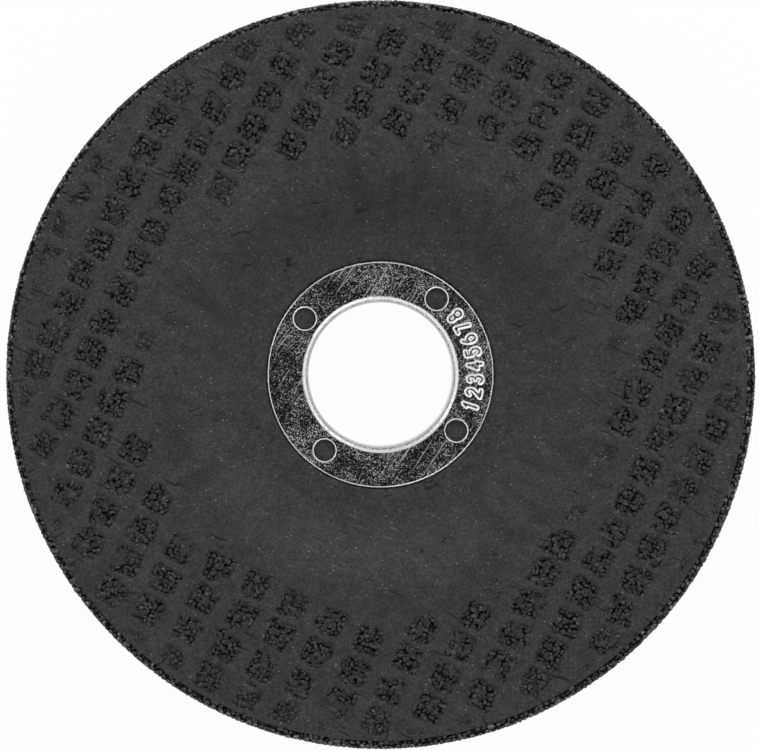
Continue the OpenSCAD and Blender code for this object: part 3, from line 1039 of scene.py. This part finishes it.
def thread_relief(points, sheet):
    """How far the threads show at points of the plane, 0 to 1: a bell-shaped ridge on each line midway between
    two rows of windows, both ways, strong in some places and faint in others.
    """
    _, local = mesh_cells(points, sheet)
    first = 0.5 * sheet.pitch_b - np.abs(local[:, 1])
    second = 0.5 * sheet.pitch_a - np.abs(local[:, 0])
    uneven = 0.55 + 0.45 * value_noise(points, 5 * MM, SEED + 15)
    return uneven * np.maximum(np.exp(-((first / (0.45 * MM)) ** 2)), 0.7 * np.exp(-((second / (0.5 * MM)) ** 2)))


def sheet_shape(points, wheel, sheet):
    """Height of the sheet's face, how far it is drawn down, and the height of its pleats at points of the plane.

    The recessed face, minus a pit in each window, plus slow waves, wrinkles along the threads and pleats that
    run up the slope. Islands of film stay up in some windows.
    """
    radius = np.linalg.norm(points, axis=-1)
    cell, edge = window_edge(points, sheet)
    strength = window_strength(cell, sheet)
    islands = smooth_step(layered_noise(points, 1.5 * MM, SEED + 7), 0.38, 0.72)
    fringe = smooth_step(layered_noise(points, 0.9 * MM, SEED + 31), -0.5, 0.9)
    weak = 1 - smooth_step(strength, 0.15, 0.7)
    down = smooth_step(-edge, -0.12 * MM, 0.34 * MM) * (1 - 0.85 * islands)
    down *= np.sqrt(strength) * (1 - weak * 0.5 * fringe)
    down *= 1 - smooth_step(radius, sheet.radius - 1.5 * MM, sheet.radius - 0.6 * MM)
    waves = 0.030 * MM * value_noise(points, 4.5 * MM, SEED + 8) + 0.012 * MM * value_noise(points, 1.6 * MM, SEED + 9)
    along = points @ thread_axes(sheet).T
    ripple = value_noise(along * [0.3, 1.0], 1.1 * MM, SEED + 10) * smooth_step(
        value_noise(points, 9 * MM, SEED + 12), 0.0, 0.7
    )
    waves += 0.028 * MM * ripple * smooth_step(radius, 20 * MM, 23 * MM)
    round_slope = np.column_stack([points * (27 * MM / np.maximum(radius, MM))[:, None], 0.2 * radius])
    pleats = np.clip(2.4 * value_noise(round_slope, 1.7 * MM, SEED + 41), -1, 1)
    pleats *= smooth_step(value_noise(points, 7 * MM, SEED + 42), -0.3, 0.5)
    pleats *= smooth_step(radius, 22 * MM, 26 * MM) * (1 - smooth_step(radius, 32 * MM, 37 * MM))
    waves += 0.05 * MM * pleats
    waves += sheet.thread * thread_relief(points, sheet) * smooth_step(radius, 30 * MM, 37 * MM)
    height = face_height(radius, wheel) - 0.09 * MM + waves - sheet.pit * down
    height = np.minimum(height, wheel.rim_z)
    return height, down, pleats


def make_sheet(wheel, sheet, ring_radius, seat_drop):
    """The facing sheet: rings of points from under the flange to the outer edge, its height from sheet_shape.

    The inner part has half as many points round as the outer part. Faces deep in a window are left out, which
    opens it. The outer edge is turned down to the wheel.
    """
    outer_columns = 960
    inner_columns = outer_columns // 2
    step_r = ring_radius + 0.1 * MM
    inner = np.concatenate([
        np.linspace(12.3 * MM, step_r - 0.01 * MM, 4),
        np.linspace(step_r + 0.04 * MM, 21 * MM, 8),
        np.arange(21.4 * MM, 33.2 * MM, 0.42 * MM),
    ])
    outer = np.concatenate([np.arange(33.5 * MM, 55.8 * MM, 0.285 * MM), np.linspace(55.9 * MM, sheet.radius, 5)])
    rings = []
    for radii, columns in ((inner, inner_columns), (outer, outer_columns)):
        angle = np.arange(columns) * TURN / columns
        grid_r = np.broadcast_to(radii[:, None], (len(radii), columns))
        plane = np.stack([grid_r * np.cos(angle), grid_r * np.sin(angle)], -1)
        aside = smooth_step(grid_r, 54 * MM, sheet.radius)[..., None]
        plane += aside * np.array([sheet.shift_x, sheet.shift_y])
        height, down, pleats = sheet_shape(plane.reshape(-1, 2), wheel, sheet)
        seated = grid_r.ravel() < step_r
        height = np.where(seated, height - seat_drop, height)
        rings.append((plane.reshape(-1, 2), height, down, pleats))
    edge_plane = rings[1][0][-outer_columns:]
    edge_angle = np.arange(outer_columns) * TURN / outer_columns
    ragged = 0.05 * MM * value_noise(edge_plane, 2.2 * MM, SEED + 14)
    edge_plane += ragged[:, None] * np.stack([np.cos(edge_angle), np.sin(edge_angle)], -1)
    rings[1][1][-outer_columns:] -= 0.05 * MM
    skirt = np.column_stack([edge_plane, rings[1][1][-outer_columns:] - sheet.depth])
    plane = np.concatenate([rings[0][0], rings[1][0]])
    height = np.concatenate([rings[0][1], rings[1][1]])
    vertices = np.concatenate([np.column_stack([plane, height]), skirt])
    down = np.concatenate([rings[0][2], rings[1][2], np.zeros(outer_columns)])
    start = len(rings[0][0])
    quads_inner = grid_quads(len(inner), inner_columns)[:, ::-1]
    quads_outer = grid_quads(len(outer) + 1, outer_columns)[:, ::-1] + start
    open_here = (down[quads_outer] > 0.86).all(1)
    quads = np.concatenate([quads_inner, quads_outer[~open_here]])
    join = halving_triangles(start, start - inner_columns, outer_columns)
    piece = put_mesh("facing_film", vertices, quads, join)
    put_attribute(piece, "pit", down)
    put_attribute(piece, "pleat", np.concatenate([rings[0][3], rings[1][3], np.zeros(outer_columns)]))
    put_attribute(piece, "threaded", smooth_step(np.linalg.norm(vertices[:, :2], axis=1), 31 * MM, 35 * MM))
    return piece


def arc(centre_x, centre_y, radius_x, radius_y, start, end, parts=14):
    """Points of an elliptic arc between two angles in degrees."""
    angle = np.radians(np.linspace(start, end, parts))
    return np.stack([centre_x + radius_x * np.cos(angle), centre_y + radius_y * np.sin(angle)], -1)


def number_strokes():
    """Strokes of the plain numbers 1 to 8 in a box from -1 to 1 both ways."""
    return [
        [np.array([(-0.6, 0.55), (0.1, 1), (0.1, -1)])],
        [np.concatenate([arc(0, 0.42, 1, 0.58, 165, -38), [(-1, -1), (1, -1)]])],
        [arc(0, 0.5, 0.9, 0.5, 150, -90), arc(0, -0.5, 1, 0.5, 90, -150)],
        [np.array([(0.45, -1), (0.45, 1), (-1, -0.35), (1, -0.35)])],
        [np.concatenate([[(0.85, 1), (-0.75, 1), (-0.85, 0.12)], arc(0, -0.35, 1, 0.65, 132, -150)])],
        [arc(0, -0.4, 1, 0.6, 0, 360, 26), arc(1, -0.4, 2, 1.4, 180, 112)],
        [np.array([(-1, 1), (1, 1), (-0.3, -1)])],
        [arc(0, 0.52, 0.82, 0.48, 0, 360, 24), arc(0, -0.48, 1, 0.52, 0, 360, 26)],
    ]


def stroke_distance(points, strokes):
    """Distance of each point from the nearest straight piece of any stroke."""
    nearest = np.full(len(points), np.inf)
    for stroke in strokes:
        for start, end in zip(stroke[:-1], stroke[1:]):
            along = end - start
            part = np.clip((points - start) @ along / (along @ along), 0, 1)
            nearest = np.minimum(nearest, np.linalg.norm(points - start - part[:, None] * along, axis=1))
    return nearest


def number_relief(plane, ring):
    """Height of the raised numbers at points of the flange: flat-topped ridges along the strokes.

    The numbers stand round the bore with their tops towards it and are read counter-clockwise.
    """
    radius = np.linalg.norm(plane, axis=1)
    angle = np.arctan2(plane[:, 1], plane[:, 0])
    relief = np.zeros(len(plane))
    half = np.array([ring.number_width - ring.stroke, ring.number_height - ring.stroke]) / 2
    for k, strokes in enumerate(number_strokes()):
        middle = ring.number_from + k * ring.number_step
        local = np.stack([(angle - middle) * ring.number_circle, ring.number_circle - radius], -1)
        near = (np.abs(local) < half + ring.stroke * 1.5).all(1)
        if near.any():
            distance = stroke_distance(local[near], [stroke * half for stroke in strokes])
            ridge = 1 - smooth_step(distance, 0.06 * ring.stroke, 0.52 * ring.stroke)
            relief[near] = np.maximum(relief[near], ring.raise_by * ridge)
    return relief


def ring_sectors(ring):
    """Angle ranges round the flange: half the angle that a hole's cell takes, and each cell's middle."""
    middles = ring.hole_angle + np.arange(4) * TURN / 4
    return math.radians(10), middles


def flange_face(ring, flange_r, inner_r, columns, rows, height_of, flip):
    """One flat face of the flange with its four holes: vertices and quads.

    Plain sectors are grids of radius and angle. A hole's sector is a grid of two parameters: one runs round
    the hole, the other from the hole's edge out to the sector's border, along straight lines.
    """
    half, middles = ring_sectors(ring)
    cell_columns = round(2 * half / TURN * columns)
    plain_columns = columns // 4 - cell_columns
    radii = np.linspace(inner_r, flange_r, rows + 1)
    parts, faces, count_so_far = [], [], 0
    for middle in middles:
        start = middle + half
        step = (TURN / 4 - 2 * half) / plain_columns
        angle = start + np.arange(plain_columns + 1) * step
        grid = np.stack([radii[:, None] * np.cos(angle), radii[:, None] * np.sin(angle)], -1)
        parts.append(grid.reshape(-1, 2))
        faces.append(grid_quads(rows + 1, plain_columns + 1, wrap_columns=False) + count_so_far)
        count_so_far += len(parts[-1])
        arc_angle = middle - half + np.arange(cell_columns + 1) * 2 * half / cell_columns
        border = np.concatenate([
            np.stack([flange_r * np.cos(arc_angle), flange_r * np.sin(arc_angle)], -1)[:-1],
            np.stack([radii[::-1] * math.cos(middle + half), radii[::-1] * math.sin(middle + half)], -1)[:-1],
            np.stack([inner_r * np.cos(arc_angle[::-1]), inner_r * np.sin(arc_angle[::-1])], -1)[:-1],
            np.stack([radii * math.cos(middle - half), radii * math.sin(middle - half)], -1)[:-1],
        ])
        centre = ring.hole_circle * np.array([math.cos(middle), math.sin(middle)])
        out = border - centre
        out /= np.linalg.norm(out, axis=1, keepdims=True)
        steps = np.concatenate([np.linspace(0, ring.lip, 7), [ring.lip * 1.4]])
        loops = [centre + out * (ring.hole + step) for step in steps]
        last = loops[-1]
        loops += [last + (border - last) * part for part in (0.3, 0.65, 1.0)]
        cell = np.stack(loops)
        parts.append(cell.reshape(-1, 2))
        faces.append(grid_quads(len(loops), len(border)) + count_so_far)
        if not flip:
            faces[-1] = faces[-1][:, ::-1]
            faces[-2] = faces[-2][:, ::-1]
        count_so_far += len(parts[-1])
    plane = np.concatenate(parts)
    vertices = np.column_stack([plane, height_of(plane)])
    return vertices, np.concatenate(faces)


def soft_corner(part):
    """Drop of a rounded corner, 0 to 1, at a part of its width: a curve between a quarter circle and a bevel."""
    part = np.clip(part, 0, 1)
    return 1 - (1 - part**1.5) ** (1 / 1.5)


def hole_distance(plane, ring):
    """Distance from the edge of the nearest hole."""
    _, middles = ring_sectors(ring)
    centres = ring.hole_circle * np.stack([np.cos(middles), np.sin(middles)], -1)
    return np.linalg.norm(plane[:, None] - centres[None], axis=-1).min(1) - ring.hole


def make_ring(ring, flange_r, top, low):
    """The pressed ring as one closed skin: the flange's two faces with their holes, and a half section turned
    about the axis for the edge, the underside of the bend, the collar and the bend's outside.
    """
    columns = 960
    under = top - ring.steel
    bend_r = ring.bore + ring.bend
    edge = ring.edge

    def upper(plane):
        rounded = ring.steel * 0.6 * soft_corner(1 - hole_distance(plane, ring) / ring.lip)
        return top - rounded + number_relief(plane, ring)

    def lower(plane):
        return np.full(len(plane), under)

    face, face_quads = flange_face(ring, flange_r - edge, bend_r, columns, 44, upper, False)
    back, back_quads = flange_face(ring, flange_r - 0.02 * MM, bend_r, columns, 4, lower, True)
    turned = np.linspace(0, math.pi / 2, 9)
    across = np.sin(turned)
    outer_edge = np.stack([flange_r - edge + edge * across, top - edge * soft_corner(across)], -1)
    outer_edge = np.concatenate([outer_edge, [[flange_r, under + 0.03 * MM], [flange_r - 0.02 * MM, under]]])
    inner = ring.bend - ring.steel
    inside_bend = np.stack([bend_r - inner * np.sin(turned), top - ring.bend + inner * np.cos(turned)], -1)
    outside_bend = np.stack([bend_r - ring.bend * across[::-1], top - ring.bend * soft_corner(across[::-1])], -1)
    outside = ring.bore + ring.steel
    roll = 0.08 * MM
    collar = np.array([
        [outside, low + roll], [outside - roll, low], [ring.bore + roll, low], [ring.bore, low + roll],
        [ring.bore, low + 1.6 * MM], [ring.bore, low + 3.2 * MM],
    ])
    neck = np.concatenate([inside_bend, collar, outside_bend])
    half, middles = ring_sectors(ring)
    shift = middles[0] + half
    pieces, quads, start = [face, back], [face_quads, back_quads + len(face)], len(face) + len(back)
    for profile in (outer_edge, neck):
        grid = revolve(profile, columns)
        cos, sin = math.cos(shift), math.sin(shift)
        turned_grid = np.stack([
            grid[..., 0] * cos - grid[..., 1] * sin, grid[..., 0] * sin + grid[..., 1] * cos, grid[..., 2]
        ], -1)
        pieces.append(turned_grid.reshape(-1, 3))
        quads.append(grid_quads(len(profile), columns)[:, ::-1] + start)
        start += len(pieces[-1])
    half, _ = ring_sectors(ring)
    around = np.arange(72) * TURN / 72
    for middle in middles:
        centre = ring.hole_circle * np.array([math.cos(middle), math.sin(middle)])
        wall = centre + ring.hole * np.stack([np.cos(around), np.sin(around)], -1)
        for height in (under, top - ring.steel * 0.6):
            pieces.append(np.column_stack([wall, np.full(len(wall), height)]))
        quads.append(grid_quads(2, len(wall))[:, ::-1] + start)
        start += 2 * len(wall)
    piece = put_mesh("pressed_ring", np.concatenate(pieces), np.concatenate(quads), [])
    weld(piece, 0.004 * MM)
    return piece


def weld(piece, distance):
    """Joins the vertices of a piece that lie together."""
    modifier = piece.modifiers.new("Weld", "WELD")
    modifier.merge_threshold = distance
    graph = bpy.context.evaluated_depsgraph_get()
    welded = bpy.data.meshes.new_from_object(piece.evaluated_get(graph))
    piece.modifiers.clear()
    piece.data = welded


class DISC_OT_wheel(bpy.types.Operator):
    """Make the moulded abrasive wheel"""

    bl_idname = "disc.make_wheel"
    bl_label = "Wheel"

    def execute(self, context):
        scene = context.scene
        piece = make_wheel(scene.disc_wheel, scene.disc_sheet)
        finish_piece(piece, resin_finish(scene.disc_colours), "abrasive_body")
        return {"FINISHED"}


class DISC_OT_grains(bpy.types.Operator):
    """Strew the grains of the rim, the windows and the back"""

    bl_idname = "disc.make_grains"
    bl_label = "Grains"

    def execute(self, context):
        scene = context.scene
        wheel = scene.disc_wheel
        colours = scene.disc_colours
        coated = grain_finish("coated_grain", colours.grain, colours.crevice_shade, colours)
        # The rim grains' cracks are painted in the resin's colour as shade.
        rim = grain_finish("rim_grain", colours.grain_rim, colours.resin, colours)
        finish_piece(make_rim_grains(wheel), rim, "abrasive_body")
        finish_piece(make_window_grains(wheel, scene.disc_sheet), coated, "abrasive_body")
        finish_piece(make_back_grains(wheel), coated, "abrasive_body")
        return {"FINISHED"}


class DISC_OT_sheet(bpy.types.Operator):
    """Make the facing sheet with its open mesh"""

    bl_idname = "disc.make_sheet"
    bl_label = "Facing Sheet"

    def execute(self, context):
        scene = context.scene
        hub_z = scene.disc_wheel.rim_z - scene.disc_wheel.recess
        seat_drop = hub_z - (RING_HIGH[2] - scene.disc_ring.steel)
        piece = make_sheet(scene.disc_wheel, scene.disc_sheet, RING_HIGH[0], seat_drop)
        finish_piece(piece, film_finish(scene.disc_colours, scene.disc_sheet), "facing_sheet")
        return {"FINISHED"}


class DISC_OT_ring(bpy.types.Operator):
    """Make the pressed steel ring with its raised numbers"""

    bl_idname = "disc.make_ring"
    bl_label = "Centre Ring"

    def execute(self, context):
        scene = context.scene
        piece = make_ring(scene.disc_ring, RING_HIGH[0], RING_HIGH[2], RING_LOW[2])
        finish_piece(piece, steel_finish(scene.disc_colours), "centre_ring")
        return {"FINISHED"}


def place_lamp(name, location, width, height, level, mirrored=True):
    """A flat lamp that looks at the disc. Its power gives a flat white surface that level of light.

    Power is pi squared times the distance squared times the level, over the cosine of its angle from upright.
    """
    lamp = bpy.data.lights.new(name, "AREA")
    lamp.shape = "RECTANGLE"
    lamp.size = width
    lamp.size_y = height
    distance = math.dist(location, (0, 0, 0))
    lamp.energy = level * math.pi**2 * distance**3 / location[2]
    holder = bpy.data.objects.new(name, lamp)
    holder.location = location
    holder.rotation_mode = "QUATERNION"
    holder.rotation_quaternion = holder.location.to_track_quat("Z", "Y")
    holder.visible_glossy = mirrored
    bpy.context.scene.collection.objects.link(holder)


def make_floor(colours):
    """A large pale floor just under the hub's back, seen white by the camera but for the disc's shadow."""
    reach = 3.0
    level = -0.1 * MM
    corners = np.array([(-reach, -reach, level), (reach, -reach, level), (reach, reach, level), (-reach, reach, level)])
    floor = put_mesh("floor", corners, [(0, 1, 2, 3)], [])
    material, tree, shader, _ = start_material("studio_floor")
    shader.inputs["Base Color"].default_value = (*colours.floor, 1)
    shader.inputs["Roughness"].default_value = 0.9
    shader.inputs["Specular IOR Level"].default_value = 0.0
    mix = lit_for_camera(tree, shader, 0.97)
    tree.links.new(mix.outputs[0], tree.nodes["Material Output"].inputs["Surface"])
    floor.data.materials.append(material)


def make_room(level, key_place):
    """A room that is pale at the sides and dark overhead, darker behind the large lamp, and white where the
    camera sees it.
    """
    world = bpy.data.worlds.new("studio_room")
    world.use_nodes = True
    tree = world.node_tree
    tree.nodes.clear()
    place = tree.nodes.new("ShaderNodeTexCoord")
    parts = tree.nodes.new("ShaderNodeSeparateXYZ")
    tree.links.new(place.outputs["Generated"], parts.inputs[0])
    overhead = remap(tree, parts.outputs["Z"], 0.70, 0.84, level, 0.025 * level, "SMOOTHSTEP")
    lamp_way = add_node(tree, "ShaderNodeVectorMath", {"operation": "DOT_PRODUCT"})
    tree.links.new(place.outputs["Generated"], lamp_way.inputs[0])
    lamp_way.inputs[1].default_value = tuple(mathutils.Vector(key_place).normalized())
    behind = remap(tree, lamp_way.outputs["Value"], 0.62, 0.92, 1.0, 0.3, "SMOOTHSTEP")
    room = tree.nodes.new("ShaderNodeBackground")
    tree.links.new(calculate(tree, "MULTIPLY", overhead, behind), room.inputs["Strength"])
    white = tree.nodes.new("ShaderNodeBackground")
    path = tree.nodes.new("ShaderNodeLightPath")
    mix = tree.nodes.new("ShaderNodeMixShader")
    out = tree.nodes.new("ShaderNodeOutputWorld")
    tree.links.new(path.outputs["Is Camera Ray"], mix.inputs[0])
    tree.links.new(room.outputs[0], mix.inputs[1])
    tree.links.new(white.outputs[0], mix.inputs[2])
    tree.links.new(mix.outputs[0], out.inputs["Surface"])
    for background in (room, white):
        background.inputs["Color"].default_value = (1, 1, 1, 1)
    bpy.context.scene.world = world


def place_camera(stage, rim_z):
    """A camera nearly over the disc. Its lens takes in the given width of the rim's plane."""
    lens = bpy.data.cameras.new("camera")
    lens.sensor_width = 36
    aim = np.array([stage.aim_x, stage.aim_y, rim_z])
    stand = np.array([stage.camera_x, stage.camera_y, rim_z + stage.camera_height])
    lens.lens = lens.sensor_width * np.linalg.norm(stand - aim) / stage.view_width
    holder = bpy.data.objects.new("camera", lens)
    holder.location = stand
    forward = (aim - stand) / np.linalg.norm(aim - stand)
    right = np.cross(forward, (0, 1, 0))
    right /= np.linalg.norm(right)
    up = np.cross(right, forward)
    axes = mathutils.Matrix(np.column_stack([right, up, -forward]).tolist())
    holder.rotation_euler = axes.to_euler()
    lens.clip_start = 0.01
    lens.clip_end = 20
    bpy.context.scene.collection.objects.link(holder)
    bpy.context.scene.camera = holder


class DISC_OT_stage(bpy.types.Operator):
    """Make the floor, the lamps, the room and the camera"""

    bl_idname = "disc.make_stage"
    bl_label = "Studio"

    def execute(self, context):
        scene = context.scene
        stage = scene.disc_stage
        make_floor(scene.disc_colours)
        make_room(stage.sky_level, KEY_PLACE)
        place_lamp("key", KEY_PLACE, 2.2, 0.75, stage.key_level)
        place_lamp("fill", (0.35, -0.6, 0.62), 0.6, 0.6, stage.fill_level)
        place_lamp("side", (0.10, 0.85, 0.45), 0.5, 0.5, stage.side_level, mirrored=False)
        place_camera(stage, scene.disc_wheel.rim_z)
        scene.view_settings.view_transform = "Standard"
        return {"FINISHED"}


class DISC_PT_panel(bpy.types.Panel):
    """The steps of the disc in order"""

    bl_label = "Grinding Disc"
    bl_idname = "DISC_PT_panel"
    bl_space_type = "VIEW_3D"
    bl_region_type = "UI"
    bl_category = "Disc"

    def draw(self, context):
        for step in STEPS:
            self.layout.operator(step.bl_idname)


STEPS = (DISC_OT_stage, DISC_OT_wheel, DISC_OT_grains, DISC_OT_sheet, DISC_OT_ring)
GROUPS = {
    "disc_wheel": DiscWheelSizes,
    "disc_sheet": DiscSheetSizes,
    "disc_ring": DiscRingSizes,
    "disc_colours": DiscColours,
    "disc_stage": DiscStage,
}


def register():
    for group in GROUPS.values():
        bpy.utils.register_class(group)
    for name, group in GROUPS.items():
        setattr(bpy.types.Scene, name, bpy.props.PointerProperty(type=group))
    for step in (*STEPS, DISC_PT_panel):
        bpy.utils.register_class(step)


def unregister():
    for step in (DISC_PT_panel, *STEPS[::-1]):
        bpy.utils.unregister_class(step)
    for name, group in GROUPS.items():
        delattr(bpy.types.Scene, name)
        bpy.utils.unregister_class(group)


def main():
    register()
    bpy.ops.disc.make_stage()
    bpy.ops.disc.make_wheel()
    bpy.ops.disc.make_grains()
    bpy.ops.disc.make_sheet()
    bpy.ops.disc.make_ring()


if __name__ == "__main__":
    main()
